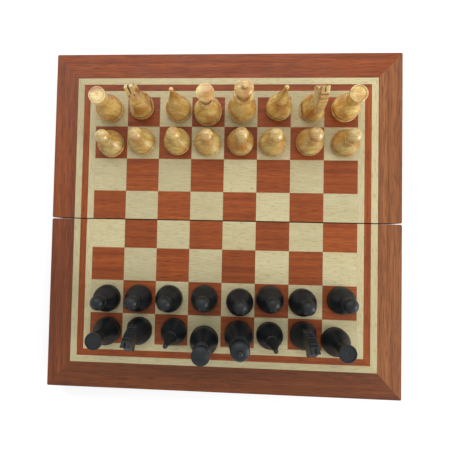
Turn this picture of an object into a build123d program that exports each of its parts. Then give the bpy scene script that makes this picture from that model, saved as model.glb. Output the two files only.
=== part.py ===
from build123d import *
import os
from math import sqrt

os.makedirs("parts", exist_ok=True)

# Playing face, in millimetres: +X runs to the right along the fold, +Y to the white side, +Z up
square = 33.0
fold_row = 28.4
outer_row = 30.2
string_width = 6.6
string_bands = 3
side_border = 23.2
end_border = 25.1
fold_gap = 1.0
columns = 8

# Board construction
rail_height = 25.0
panel_thickness = 5.0
veneer_thickness = 0.8
tongue_reach = 6.0
tongue_thickness = 2.4
hinge_rail_width = 12.0
corner_round = 1.5
edge_round = 0.8

# Butt hinges, two on the underside along the fold
hinge_offset = 110.0
hinge_length = 32.0
leaf_width = 10.0
leaf_thickness = 1.2
leaf_recess = 0.05
knuckle_radius = 1.6
knuckle_gap = 0.1
knuckle_clearance = 0.3
pin_radius = 0.8
pin_clearance = 0.05
rim_drop = 0.15
mortise_clearance = 0.2
leaf_screw_spacing = 20.0
leaf_screw_setback = 6.2

# Countersunk wood screws of the hinge leaves
screw_radius = 1.1
screw_head_radius = 2.0
screw_head_height = 0.9
screw_length = 8.5
screw_point = 1.5
screw_clearance = 0.05
screw_recess = 0.05

# Swing hooks on the far rail and their catch studs on the near rail
hook_offset = 95.0
hook_pivot_height = 12.0
stud_height = 6.0
hook_thickness = 1.2
hook_width = 4.4
hook_eye_radius = 3.3
hook_finger_reach = 5.5
hook_finger_radius = 1.8
hook_gap = 0.2
hook_head_gap = 0.15
hook_pin_radius = 1.3
hook_pin_clearance = 0.05
hook_pin_depth = 9.0
hook_head_radius = 2.6
hook_head_height = 0.9
hook_head_round = 0.54
stud_radius = 1.1
stud_clearance = 0.5

# Foot that all the men share
plinth_height = 4.0
plinth_edge = 0.6
plinth_lip = 0.8
cove_height = 0.7
cove_depth = 1.8
shoulder_inset = 0.4
shoulder_lean = 0.2
bead_bulge = 0.9

# Pawn
pawn_base = 13.4
pawn_body_height = 18.8
pawn_neck = 4.6
pawn_collar = 6.4
pawn_collar_height = 2.4
pawn_throat = 4.4
pawn_throat_height = 1.4
pawn_ball = 7.0

# Rook
rook_base = 13.5
rook_body_height = 23.5
rook_neck = 5.9
rook_flare_height = 4.5
rook_drum_foot = 7.3
rook_drum_height = 11.8
rook_drum = 8.0
rook_rim_edge = 0.5
rook_rim_width = 1.0
rook_recess = 0.5
rook_mark_radius = 0.7
rook_mark_depth = 0.4
rook_flare_lean = 0.35

# Bishop
bishop_base = 12.9
bishop_body_height = 21.3
bishop_neck = 4.6
bishop_collar = 6.0
bishop_collar_height = 2.4
bishop_throat = 4.2
bishop_throat_height = 0.8
bishop_belly = 6.1
bishop_belly_height = 3.4
bishop_mitre_height = 23.2
bishop_tip = 1.4
bishop_finial = 2.1
bishop_belly_lean = 0.9
bishop_mitre_leans = (-0.3, -0.14)

# Queen
queen_base = 14.0
queen_body_height = 30.3
queen_neck = 5.4
queen_low_collar = 7.2
queen_low_collar_height = 2.8
queen_groove = 5.6
queen_groove_height = 0.7
queen_high_collar = 6.6
queen_high_collar_height = 2.4
queen_throat = 4.9
queen_throat_height = 1.2
queen_cup_height = 15.6
queen_cup = 8.2
queen_lip = 0.8
queen_dome_rise = 1.9
queen_cup_leans = (0.15, 0.2)
queen_dome_slope = 0.5

# King
king_base = 13.8
king_body_height = 37.8
king_neck = 6.2
king_collar = 9.2
king_collar_height = 4.2
king_groove = 5.4
king_groove_height = 0.6
king_crown_foot = 5.7
king_crown_height = 13.5
king_crown = 8.5
king_dome_rise = 4.4
king_finial_neck = 1.9
king_finial = 2.4
king_crown_leans = (0.1, 0.2)
king_dome_slope = 0.1

# Knight: a turned bell with flat-cut cheeks and a slab-sided horse's head
knight_base = 13.2
knight_bell_height = 21.0
knight_bell_top = 7.6
knight_head_thickness = 8.0
knight_facet_top = 24.0
knight_facet_slope = 0.38
knight_back = 9.6
knight_nape = 9.9
knight_nape_height = 33.0
knight_crest = 2.2
knight_ear_reach = 1.9
knight_ear_height = 59.8
knight_ear_back = 4.0
knight_ear_rise = 9.3
knight_brow_reach = 3.3
knight_nose_reach = 10.2
knight_nose_height = 39.6
knight_muzzle = 4.8
knight_throat_height = 30.5
knight_throat = 4.6
knight_chest = 8.5
knight_root_height = 14.0
knight_edge_round = 0.7
knight_ear_slot = 1.5
knight_slot_end = 0.1
knight_mane_cuts = 6
knight_mane_cut_width = 1.1
knight_mane_cut_depth = 1.3
knight_mane_start = 0.34
knight_mane_end = 0.94
knight_mouth_cut = 0.9
knight_mouth_depth = 3.2
knight_eye_radius = 0.9
knight_eye_depth = 0.6
knight_eye_spread = 2.25
knight_eye_place = 0.26
knight_root_way = (-0.1, 0, 1)
knight_crest_way = (0.9, 0, 1)
knight_brow_way = (1, 0, -1)
knight_nose_way = (0.5, 0, -1)
knight_chin_way = (-1, 0, 0.2)
knight_jaw_way = (-0.5, 0, -1)
knight_throat_way = (-0.1, 0, -1)
knight_chest_way = (0.5, 0, -1)
knight_chin_setback = 1.2
knight_muzzle_bulge = 0.1
knight_mouth_drop = 2.53
cut_over = 1.0

# Where the men stand: steps to the right and away from the fold, from the middle of each square
back_rank = ["rook_1", "knight_1", "bishop_1", "queen", "king", "bishop_2", "knight_2", "rook_2"]
white_back_steps = [
    (-1.6, 1.9), (-2.3, 4.9), (3.0, 1.9), (-0.2, -0.8),
    (0.4, 1.6), (4.2, 3.6), (4.1, 2.4), (3.2, 3.2),
]
white_pawn_steps = [
    (0.7, -2.2), (-0.7, 0.1), (2.2, 0.4), (-0.1, -0.8),
    (-0.3, 0.6), (-1.7, -0.4), (1.8, 0.8), (2.8, -0.4),
]
black_back_steps = [
    (1.9, 2.4), (1.1, 1.1), (3.2, 0.8), (0.5, 8.2),
    (1.0, 2.0), (-1.6, 1.4), (-1.8, 0.3), (-4.4, 5.0),
]
black_pawn_steps = [
    (0.9, 1.5), (-0.1, 0.7), (-2.4, 0.3), (-0.3, -0.7),
    (1.8, 1.6), (-1.8, -1.8), (-3.2, 0.0), (1.0, -3.0),
]
white_knight_turns = (-78.0, 95.5)
black_knight_turns = (-92.0, -86.0)

# Heights: the knuckles stand lowest, and the rims of the trays a little above the hinge axis
axis_z = knuckle_radius
rim_z = axis_z + rim_drop
top_z = rim_z + rail_height
panel_top_z = top_z - veneer_thickness
panel_low_z = panel_top_z - panel_thickness
knight_forehead = knight_ear_height - knight_ear_rise
knight_crest_height = knight_ear_height - knight_ear_back

# Lines across one half, counted from the fold
fold_y = fold_gap / 2
row_lines = [fold_y, fold_y + fold_row, fold_y + fold_row + square, fold_y + fold_row + 2 * square]
row_lines.append(row_lines[-1] + outer_row)
half_rows = len(row_lines) - 1
squares_y = row_lines[-1]
inlay_y = squares_y + string_bands * string_width
half_y = inlay_y + end_border

# Lines across the width, counted from the middle
squares_x = columns * square / 2
inlay_x = squares_x + string_bands * string_width
half_x = inlay_x + side_border
hook_centres = (-hook_offset, hook_offset)


def block(x0, x1, y0, y1, z0, z1):
    """A box between two corners."""
    centre = Location(((x0 + x1) / 2, (y0 + y1) / 2, (z0 + z1) / 2))
    return centre * Box(abs(x1 - x0), abs(y1 - y0), abs(z1 - z0))


def prism(points, z0, z1):
    """A flat outline, given as X and Y, raised from one height to another."""
    outline = make_face(Polyline(*[(x, y, z0) for x, y in points], close=True))
    return extrude(outline, amount=z1 - z0, dir=(0, 0, 1))


def to_side(shape, side):
    """Leaves a piece of the far half where it is, or mirrors it across the fold for the near half."""
    return shape if side > 0 else mirror(shape, about=Plane.XZ)


def rod_y(radius, x, z, y0, y1):
    """A round bar along Y."""
    bar = Cylinder(radius, abs(y1 - y0))
    return Location((x, (y0 + y1) / 2, z), (90, 0, 0)) * bar


def rod_x(radius, x0, x1, y, z):
    """A round bar along X."""
    bar = Cylinder(radius, abs(x1 - x0))
    return Location(((x0 + x1) / 2, y, z), (0, 90, 0)) * bar


# Rails and panel
def frame_envelope():
    """Outside of one half, with its standing corners and its outer edges eased."""
    body = block(-half_x, half_x, fold_y, half_y, rim_z, top_z)
    standing = body.edges().filter_by(Axis.Z)
    body = fillet(standing, corner_round)
    flats = body.faces().filter_by(Axis.Z)
    outer = [e for e in flats.edges() if (e @ 0.5).Y > fold_y + corner_round / 4]
    return fillet(outer, edge_round)


def rail_prisms():
    """Plan shapes of the three rails, which meet in mitres at the outer corners."""
    outer = [(-half_x, half_y), (half_x, half_y), (inlay_x, inlay_y), (-inlay_x, inlay_y)]
    left = [(-half_x, fold_y), (-inlay_x, fold_y), (-inlay_x, inlay_y), (-half_x, half_y)]
    right = [(-x, y) for x, y in left]
    return {"outer_rail": outer, "left_rail": left, "right_rail": right}


def tongue():
    """The lip of the panel that fills the grooves of the rails."""
    reach_x = inlay_x + tongue_reach
    tongue_top_z = panel_low_z + tongue_thickness
    return block(-reach_x, reach_x, fold_y, inlay_y + tongue_reach, panel_low_z, tongue_top_z)


def build_rails(side):
    """Rails of one half, with the groove for the panel and the holes for clasp and hinge hardware."""
    envelope = frame_envelope()
    pin_height = rim_z + (hook_pivot_height if side > 0 else stud_height)
    pin_radius_here = (hook_pin_radius if side > 0 else stud_radius) + screw_clearance
    rails = {}
    for name, plan in rail_prisms().items():
        rail = envelope & prism(plan, rim_z, top_z)
        rail = rail - tongue()
        if name == "outer_rail":
            for x in hook_centres:
                hole_y = half_y - hook_pin_depth
                rail = rail - rod_y(pin_radius_here, x, pin_height, hole_y, half_y + edge_round)
        rails[name] = rail
    rails["hinge_rail"] = build_hinge_rail()
    return {name: to_side(rail, side) for name, rail in rails.items()}


def build_panel():
    """Tray top: it fills the opening of the rails, reaches the fold and has a tongue on three sides."""
    field = block(-inlay_x, inlay_x, fold_y, inlay_y, panel_low_z, panel_top_z)
    return field + tongue()


# Veneers
def build_squares(side, light):
    """Every light or every dark square of one half, as separate leaves; ranks count from the white edge."""
    leaves = []
    for row in range(half_rows):
        rank = half_rows - 1 - row if side > 0 else half_rows + row
        for column in range(columns):
            if ((column + rank) % 2 == 0) != light:
                continue
            x0 = -squares_x + column * square
            leaf = block(x0, x0 + square, row_lines[row], row_lines[row + 1], panel_top_z, top_z)
            leaves.append(to_side(leaf, side))
    return Compound(children=leaves)


def string_band(order):
    """Three mitred strips round the squares; order counts the bands from the squares outwards."""
    low = order * string_width
    high = low + string_width
    x0, x1 = squares_x + low, squares_x + high
    y0, y1 = squares_y + low, squares_y + high
    across = [(-x1, y1), (x1, y1), (x0, y0), (-x0, y0)]
    left = [(-x1, fold_y), (-x0, fold_y), (-x0, y0), (-x1, y1)]
    right = [(-x, y) for x, y in left]
    return [prism(plan, panel_top_z, top_z) for plan in (across, left, right)]


def build_strings(side, orders):
    """The bands of one colour on one half."""
    strips = []
    for order in orders:
        strips += [to_side(strip, side) for strip in string_band(order)]
    return Compound(children=strips)


# Hinges
leaf_low_z = rim_z + leaf_recess
hinge_centres = (-hinge_offset, hinge_offset)
knuckle_third = hinge_length / 3


def leaf_screw_points():
    """Screw places on one half, as X and Y."""
    points = []
    for centre in hinge_centres:
        for step in (-leaf_screw_spacing / 2, leaf_screw_spacing / 2):
            points.append((centre + step, leaf_screw_setback))
    return points


def screw_shape(extra):
    """A countersunk screw standing on its head, thicker all round by extra."""
    outline = Turning(0.0)
    outline.line(screw_head_radius + extra, 0.0)
    outline.line(screw_radius + extra, screw_head_height)
    outline.line(screw_radius + extra, screw_length - screw_point)
    outline.line(0.0, screw_length + extra)
    return outline.solid()


def build_hinge_rail():
    """Strip along the fold under the panel, mortised for the leaves and hollowed for the knuckles."""
    strip = block(-inlay_x, inlay_x, fold_y, fold_y + hinge_rail_width, rim_z, panel_low_z)
    bore = screw_shape(screw_clearance)
    for centre in hinge_centres:
        x0 = centre - hinge_length / 2 - mortise_clearance
        x1 = centre + hinge_length / 2 + mortise_clearance
        leaf_top = leaf_low_z + leaf_thickness
        strip = strip - block(x0, x1, fold_y, leaf_width + mortise_clearance, rim_z, leaf_top)
        strip = strip - rod_x(knuckle_radius + knuckle_clearance, x0, x1, 0, axis_z)
    for x, y in leaf_screw_points():
        strip = strip - Location((x, y, leaf_low_z + screw_recess)) * bore
    return strip


def build_leaves(side):
    """Both hinge leaves of one half: the far ones hold the outer knuckles, the near ones the middle one."""
    leaves = []
    bore = screw_shape(screw_clearance)
    clear_y = knuckle_radius + knuckle_clearance
    for centre in hinge_centres:
        start = centre - hinge_length / 2
        end = centre + hinge_length / 2
        if side > 0:
            spans = [(start, start + knuckle_third), (end - knuckle_third, end)]
        else:
            spans = [(start + knuckle_third + knuckle_gap, end - knuckle_third - knuckle_gap)]
        leaf = block(start, end, clear_y, leaf_width, leaf_low_z, leaf_low_z + leaf_thickness)
        for x0, x1 in spans:
            leaf = leaf + block(x0, x1, 0, clear_y, leaf_low_z, leaf_low_z + leaf_thickness)
            leaf = leaf + rod_x(knuckle_radius, x0, x1, 0, axis_z)
        leaf = leaf - rod_x(pin_radius + pin_clearance, start, end, 0, axis_z)
        for x, y in leaf_screw_points():
            if start < x < end:
                leaf = leaf - Location((x, y, leaf_low_z + screw_recess)) * bore
                leaf = leaf - Location((x, y, leaf_low_z)) * Cylinder(screw_head_radius + screw_clearance,
                                                                      2 * screw_recess)
        leaves.append(to_side(leaf, side))
    return Compound(children=leaves)


def build_hinge_pins():
    """One pin through the knuckles of each hinge."""
    pins = [rod_x(pin_radius, c - hinge_length / 2, c + hinge_length / 2, 0, axis_z) for c in hinge_centres]
    return Compound(children=pins)


def build_hinge_screws(side):
    """The screws that hold the leaves of one half."""
    screw = screw_shape(0.0)
    screws = [Location((x, y, leaf_low_z + screw_recess)) * screw for x, y in leaf_screw_points()]
    return Compound(children=[to_side(s, side) for s in screws])


# Clasps
hook_low_y = half_y + hook_gap
hook_high_y = hook_low_y + hook_thickness
head_low_y = hook_high_y + hook_head_gap
hook_reach = (rim_z + hook_pivot_height) - (2 * axis_z - rim_z - stud_height)


def build_hook(x):
    """Flat hook, stowed pointing to the middle, whose notch drops over the stud of the closed box."""
    eye = Circle(hook_eye_radius)
    bar = Pos(hook_reach / 2, 0) * Rectangle(hook_reach, hook_width)
    jaw = Pos(hook_reach, 0) * Circle(hook_eye_radius)
    finger_x = hook_reach + hook_finger_reach
    finger = Pos(finger_x, 0) * Circle(hook_finger_radius)
    neck = Pos(hook_reach + hook_finger_reach / 2, 0) * Rectangle(hook_finger_reach, 2 * hook_finger_radius)
    notch_radius = stud_radius + stud_clearance
    notch = Pos(hook_reach, 0) * Circle(notch_radius)
    mouth = Pos(hook_reach, -hook_eye_radius / 2) * Rectangle(2 * notch_radius, hook_eye_radius)
    hole = Circle(hook_pin_radius + hook_pin_clearance)
    outline = eye + bar + jaw + finger + neck - notch - mouth - hole
    plate = extrude(outline, amount=hook_thickness)
    if x > 0:
        plate = mirror(plate, about=Plane.YZ)
    return Location((x, hook_high_y, rim_z + hook_pivot_height), (90, 0, 0)) * plate


def round_head_pin(x, z, radius):
    """A pin from inside the rail out to a low domed head, along Y on the far side."""
    shank = rod_y(radius, x, z, half_y - hook_pin_depth, head_low_y)
    head = rod_y(hook_head_radius, x, z, head_low_y, head_low_y + hook_head_height)
    rim = head.edges().filter_by(GeomType.CIRCLE).sort_by(Axis.Y)[-1]
    return shank + fillet(rim, hook_head_round)


def build_hook_screws():
    """Pivot screws of the two hooks, in the far rail."""
    pins = [round_head_pin(x, rim_z + hook_pivot_height, hook_pin_radius) for x in hook_centres]
    return Compound(children=pins)


def build_catch_studs():
    """Studs in the near rail that the hooks drop over when the box is closed."""
    studs = [round_head_pin(x, rim_z + stud_height, stud_radius) for x in hook_centres]
    return Compound(children=[to_side(s, -1) for s in studs])


# Turned men: directions of a profile as radius and height
upright = (0.0, 1.0)
inward = (-1.0, 0.0)


class Turning:
    """Half outline of a turned piece, drawn as radius and height from the base up, then spun about Z."""

    def __init__(self, z):
        self.here = (0.0, z)
        self.foot = (0.0, z)
        self.edges = []

    def point(self, place):
        return (place[0], 0.0, place[1])

    def line(self, radius, z):
        self.edges.append(Line(self.point(self.here), self.point((radius, z))))
        self.here = (radius, z)

    def arc(self, through, radius, z):
        ends = (self.here, through, (radius, z))
        self.edges.append(ThreePointArc(*[self.point(p) for p in ends]))
        self.here = (radius, z)

    def curve(self, radius, z, leave, arrive):
        ends = [self.point(self.here), self.point((radius, z))]
        self.edges.append(Spline(*ends, tangents=[self.point(leave), self.point(arrive)]))
        self.here = (radius, z)

    def bead(self, radius, height):
        """A rounded collar, which swells to the given radius half way up."""
        z = self.here[1]
        self.line(radius - bead_bulge, z)
        self.arc((radius, z + height / 2), radius - bead_bulge, z + height)

    def round_over(self, size):
        """A quarter round, inwards and up by the same size."""
        radius, z = self.here
        bend = size * sqrt(0.5)
        self.arc((radius - size + bend, z + bend), radius - size, z + size)

    def rise(self, radius, height):
        """Steps in to a radius and goes straight up."""
        z = self.here[1]
        self.line(radius, z)
        self.line(radius, z + height)

    def ball(self, radius):
        """Closes the tip with a ball that sits on the present radius."""
        seat, z = self.here
        centre = z + sqrt(radius ** 2 - seat ** 2)
        self.arc((radius, centre), 0.0, centre + radius)

    def solid(self):
        self.edges.append(Line(self.point(self.here), self.point(self.foot)))
        return revolve(make_face(self.edges), axis=Axis.Z)


def foot_and_body(base, body_height, neck):
    """Plinth with a groove above it, then a body with a full shoulder that flows in to the neck."""
    outline = Turning(0.0)
    outline.line(base - plinth_edge, 0.0)
    outline.line(base, plinth_edge)
    outline.line(base, plinth_height - plinth_lip)
    outline.round_over(plinth_lip)
    outline.rise(base - cove_depth, cove_height)
    body_z = plinth_height + cove_height
    outline.line(base - shoulder_inset, body_z)
    outline.curve(neck, body_z + body_height, (shoulder_lean, 1.0), upright)
    return outline


def build_pawn():
    outline = foot_and_body(pawn_base, pawn_body_height, pawn_neck)
    outline.bead(pawn_collar, pawn_collar_height)
    outline.rise(pawn_throat, pawn_throat_height)
    outline.ball(pawn_ball)
    return outline.solid()


def build_rook():
    outline = foot_and_body(rook_base, rook_body_height, rook_neck)
    z = outline.here[1]
    outline.curve(rook_drum_foot, z + rook_flare_height, upright, (rook_flare_lean, 1.0))
    z = outline.here[1]
    outline.line(rook_drum, z + rook_drum_height)
    top = z + rook_drum_height + rook_rim_edge
    outline.line(rook_drum - rook_rim_edge, top)
    outline.line(rook_drum - rook_rim_width, top)
    outline.line(rook_drum - rook_rim_width - rook_recess / 2, top - rook_recess)
    outline.line(rook_mark_radius, top - rook_recess)
    outline.line(0.0, top - rook_recess - rook_mark_depth)
    return outline.solid()


def build_bishop():
    outline = foot_and_body(bishop_base, bishop_body_height, bishop_neck)
    outline.bead(bishop_collar, bishop_collar_height)
    outline.rise(bishop_throat, bishop_throat_height)
    z = outline.here[1]
    outline.curve(bishop_belly, z + bishop_belly_height, (bishop_belly_lean, 1.0), upright)
    z = outline.here[1]
    low_lean, high_lean = bishop_mitre_leans
    outline.curve(bishop_tip, z + bishop_mitre_height, (low_lean, 1.0), (high_lean, 1.0))
    outline.ball(bishop_finial)
    return outline.solid()


def build_queen():
    outline = foot_and_body(queen_base, queen_body_height, queen_neck)
    outline.bead(queen_low_collar, queen_low_collar_height)
    outline.rise(queen_groove, queen_groove_height)
    outline.bead(queen_high_collar, queen_high_collar_height)
    outline.rise(queen_throat, queen_throat_height)
    z = outline.here[1]
    low_lean, high_lean = queen_cup_leans
    outline.curve(queen_cup, z + queen_cup_height, (low_lean, 1.0), (high_lean, 1.0))
    outline.round_over(queen_lip)
    z = outline.here[1]
    outline.curve(0.0, z + queen_dome_rise, (-1.0, queen_dome_slope), inward)
    return outline.solid()


def build_king():
    outline = foot_and_body(king_base, king_body_height, king_neck)
    outline.bead(king_collar, king_collar_height)
    outline.rise(king_groove, king_groove_height)
    z = outline.here[1]
    outline.line(king_crown_foot, z)
    low_lean, high_lean = king_crown_leans
    outline.curve(king_crown, z + king_crown_height, (low_lean, 1.0), (high_lean, 1.0))
    z = outline.here[1]
    outline.curve(king_finial_neck, z + king_dome_rise, upright, (-1.0, king_dome_slope))
    outline.ball(king_finial)
    return outline.solid()


# Knight
def brow_line():
    """From the forehead, in front of the ears, down to the nose."""
    forehead = (knight_brow_reach, 0, knight_forehead)
    nose_top = (knight_nose_reach, 0, knight_nose_height)
    return Spline(forehead, nose_top, tangents=[knight_brow_way, knight_nose_way])


def crest_line():
    """From the root of the neck up the mane to the back of the ears."""
    root = (-knight_back, 0, knight_root_height)
    nape = (-knight_nape, 0, knight_nape_height)
    ear_root = (-knight_crest, 0, knight_crest_height)
    return Spline(root, nape, ear_root, tangents=[knight_root_way, knight_crest_way])


def horse_outline():
    """Side view of head and neck, as reach forward and height, facing +X."""
    back = crest_line()
    brow = brow_line()
    ear_tip = (knight_ear_reach, 0, knight_ear_height)
    ear = Polyline(back @ 1, ear_tip, brow @ 0)
    chin = (knight_nose_reach - knight_chin_setback, 0, knight_nose_height - knight_muzzle)
    lips = (knight_nose_reach + knight_muzzle_bulge, 0, knight_nose_height - knight_muzzle / 2)
    muzzle = ThreePointArc(brow @ 1, lips, chin)
    throat = (knight_throat, 0, knight_throat_height)
    jaw = Spline(chin, throat, tangents=[knight_chin_way, knight_jaw_way])
    breast = (knight_chest, 0, knight_root_height)
    chest = Spline(throat, breast, tangents=[knight_throat_way, knight_chest_way])
    sole = Line(breast, (-knight_back, 0, knight_root_height))
    return make_face([back, ear, brow, muzzle, jaw, chest, sole])


def knight_bell():
    """Turned foot of the knight, with a sloping flat cut on each cheek side."""
    outline = foot_and_body(knight_base, knight_bell_height, knight_bell_top)
    outline.line(0.0, outline.here[1])
    bell = outline.solid()
    inner = knight_head_thickness / 2
    low = plinth_height + cove_height
    wide = inner + (knight_facet_top - low) * knight_facet_slope
    far = 2 * knight_base
    top = outline.here[1] + cut_over
    corners = [(inner, top), (inner, knight_facet_top), (wide, low), (far, low), (far, top)]
    wedge = Polyline(*[(0, y, z) for y, z in corners], close=True)
    cutter = extrude(make_face(wedge), amount=far, dir=(1, 0, 0), both=True)
    return bell - cutter - mirror(cutter, about=Plane.XZ)


def ear_slot(rear, front):
    """Saw cut between the ears: all above a line that falls from the back of the ears to the brow."""
    top = knight_ear_height + cut_over
    far = 2 * knight_nose_reach
    corners = [(rear.X, rear.Z), (front.X, front.Z), (far, front.Z), (far, top), (rear.X, top)]
    above = Polyline(*[(x, 0, z) for x, z in corners], close=True)
    return extrude(make_face(above), amount=knight_ear_slot / 2, dir=(0, 1, 0), both=True)


def build_knight():
    """Horse's head on its bell, with an ear slot, saw-cut mane, mouth and eyes drilled in the brow."""
    half = knight_head_thickness / 2
    head = extrude(Pos(0, -half, 0) * horse_outline(), amount=knight_head_thickness, dir=(0, 1, 0))
    curves = head.edges().filter_by(GeomType.BSPLINE)
    crest_and_brow = [e for e in curves if e.center().X < 0 or e.center().Z > knight_nose_height]
    head = fillet(crest_and_brow, knight_edge_round)
    back = crest_line()
    brow = brow_line()
    head = head - ear_slot(back @ 1, brow @ knight_slot_end)
    pitch = (knight_mane_end - knight_mane_start) / (knight_mane_cuts - 1)
    for cut in range(knight_mane_cuts):
        share = knight_mane_start + cut * pitch
        saw_plane = Plane(back @ share, x_dir=(0, 1, 0), z_dir=back % share)
        head = head - saw_plane * Box(2 * half, 2 * knight_mane_cut_depth, knight_mane_cut_width)
    mouth_z = knight_nose_height - knight_mouth_drop
    head = head - block(knight_nose_reach - knight_mouth_depth, knight_nose_reach + cut_over, -half, half,
                        mouth_z - knight_mouth_cut / 2, mouth_z + knight_mouth_cut / 2)
    eye = brow @ knight_eye_place
    fall = brow % knight_eye_place
    for spread in (-knight_eye_spread, knight_eye_spread):
        drill_plane = Plane((eye.X, spread, eye.Z), x_dir=(0, 1, 0), z_dir=(-fall.Z, 0, fall.X))
        head = head - drill_plane * Cylinder(knight_eye_radius, 2 * knight_eye_depth)
    return knight_bell() + head


# Setting out and writing
def place_man(shape, column, rank_y, steps, side, turn=0.0):
    """Stands a man on its square, moved by its own steps and turned about its axis."""
    x = -squares_x + (column + 0.5) * square + steps[0]
    y = side * (rank_y + steps[1])
    return Location((x, y, top_z), (0, 0, turn)) * shape


def save(shape, name):
    export_step(shape, f"parts/{name}.step")


for half_name, side in (("far", 1), ("near", -1)):
    for rail_name, rail in build_rails(side).items():
        save(rail, f"{half_name}_{rail_name}")
    save(to_side(build_panel(), side), f"{half_name}_panel")
    save(build_squares(side, True), f"{half_name}_light_squares")
    save(build_squares(side, False), f"{half_name}_dark_squares")
    save(build_strings(side, (0, 2)), f"{half_name}_pale_strings")
    save(build_strings(side, (1,)), f"{half_name}_red_strings")
    save(build_leaves(side), f"{half_name}_hinge_leaves")
    save(build_hinge_screws(side), f"{half_name}_hinge_screws")

save(build_hinge_pins(), "hinge_pins")
for hook_name, hook_x in zip(("hook_left", "hook_right"), hook_centres):
    save(build_hook(hook_x), hook_name)
save(build_hook_screws(), "hook_screws")
save(build_catch_studs(), "catch_studs")

shapes = {
    "pawn": build_pawn(),
    "rook": build_rook(),
    "knight": build_knight(),
    "bishop": build_bishop(),
    "queen": build_queen(),
    "king": build_king(),
}
back_y = (row_lines[3] + row_lines[4]) / 2
pawn_y = (row_lines[2] + row_lines[3]) / 2
armies = {
    "white": (1, white_back_steps, white_pawn_steps, white_knight_turns),
    "black": (-1, black_back_steps, black_pawn_steps, black_knight_turns),
}
for army, (side, back_steps, pawn_steps, knight_turns) in armies.items():
    for column, man in enumerate(back_rank):
        kind = man.split("_")[0]
        turn = 0.0
        if kind == "knight":
            turn = knight_turns[int(man[-1]) - 1]
        save(place_man(shapes[kind], column, back_y, back_steps[column], side, turn), f"{army}_{man}")
    for column in range(columns):
        pawn = place_man(shapes["pawn"], column, pawn_y, pawn_steps[column], side)
        save(pawn, f"{army}_pawn_{column + 1}")
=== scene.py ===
# %% [markdown]
# A folding chess set stands open on a pale floor, seen from almost straight above.
# The board is a shallow box in two halves, veneered with pale and red wood, and 32 turned men stand on it.
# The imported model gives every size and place, so it is loaded first and nothing in it is moved.

# %% Load the frame
import math

import bpy
import numpy as np
from mathutils import Euler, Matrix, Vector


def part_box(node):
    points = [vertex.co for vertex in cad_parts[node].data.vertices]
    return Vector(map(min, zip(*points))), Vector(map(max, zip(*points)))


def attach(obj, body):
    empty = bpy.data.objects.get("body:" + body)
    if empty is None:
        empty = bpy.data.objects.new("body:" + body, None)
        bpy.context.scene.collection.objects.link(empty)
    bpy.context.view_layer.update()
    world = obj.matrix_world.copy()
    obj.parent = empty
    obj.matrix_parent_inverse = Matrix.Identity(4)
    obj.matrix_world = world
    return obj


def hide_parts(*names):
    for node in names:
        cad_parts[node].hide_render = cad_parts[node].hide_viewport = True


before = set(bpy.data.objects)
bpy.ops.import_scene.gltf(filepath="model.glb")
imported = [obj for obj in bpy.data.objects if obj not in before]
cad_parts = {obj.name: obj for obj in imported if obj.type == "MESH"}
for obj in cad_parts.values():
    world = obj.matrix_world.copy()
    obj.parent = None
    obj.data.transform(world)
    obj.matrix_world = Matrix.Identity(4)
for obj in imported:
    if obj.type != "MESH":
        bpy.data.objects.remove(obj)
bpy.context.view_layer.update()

MM = 0.001

# %% [markdown]
# Every new piece is a grid of points worked out with numpy and handed to Blender in one go.
# Points could be moved by hand in edit mode, but a formula over whole arrays is quick and can be read again.
# The helper takes millimetres, because a woodworker thinks in them, and stores metres as the frame does.


# %% Put a grid into a mesh
def make_piece(name, points, faces, smooth_angle=38.0):
    """Millimetre points and faces by corner number become an object at the origin, smooth up to an angle."""
    mesh = bpy.data.meshes.new(name)
    mesh.from_pydata((points * MM).tolist(), [], faces)
    mesh.polygons.foreach_set("use_smooth", np.ones(len(mesh.polygons), dtype=bool))
    mesh.set_sharp_from_angle(angle=math.radians(smooth_angle))
    piece = bpy.data.objects.new(name, mesh)
    bpy.context.collection.objects.link(piece)
    return piece


def store_value(piece, name, values):
    """One number for each point, kept as an attribute that a material can read."""
    attribute = piece.data.attributes.new(name, "FLOAT", "POINT")
    attribute.data.foreach_set("value", np.asarray(values, dtype=np.float32))


def store_grain(piece, along_and_across):
    """A UV map in metres along and across the grain, looked up from each face corner's point."""
    corner_points = np.empty(len(piece.data.loops), dtype=np.int32)
    piece.data.loops.foreach_get("vertex_index", corner_points)
    layer = piece.data.uv_layers.new(name="grain")
    layer.data.foreach_set("uv", (along_and_across * MM)[corner_points].astype(np.float32).ravel())


def ring_faces(rings, around):
    """Quads between neighbouring rings: corner j goes to corner j + 1, and the last one to the first."""
    ring, step = np.meshgrid(np.arange(rings - 1), np.arange(around), indexing="ij")
    here = ring * around + step
    beside = ring * around + (step + 1) % around
    return np.stack([here, beside, beside + around, here + around], axis=-1).reshape(-1, 4)


print("helpers ready")

# %% [markdown]
# Materials are built from nodes, and wiring each node takes several lines.
# Short helpers add a node with its settings, mix colours and read values, so a finish reads as a recipe.
# Colours are written as a screen shows them and are turned into the linear light that Blender counts in.


# %% Node helpers
def tone(red, green, blue):
    """A screen colour of 0 to 255 as linear light: about the power 2.4 of the value, with a straight foot."""
    value = np.array([red, green, blue]) / 255.0
    linear = np.where(value <= 0.04045, value / 12.92, ((value + 0.055) / 1.055) ** 2.4)
    return (*linear.tolist(), 1.0)


def add(tree, kind, inputs=None, **settings):
    """Adds one node; each input is a plain value or another node's socket."""
    node = tree.nodes.new(kind)
    for label, value in settings.items():
        setattr(node, label, value)
    for label, value in (inputs or {}).items():
        if isinstance(value, bpy.types.NodeSocket):
            tree.links.new(value, node.inputs[label])
        else:
            node.inputs[label].default_value = value
    return node


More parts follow.
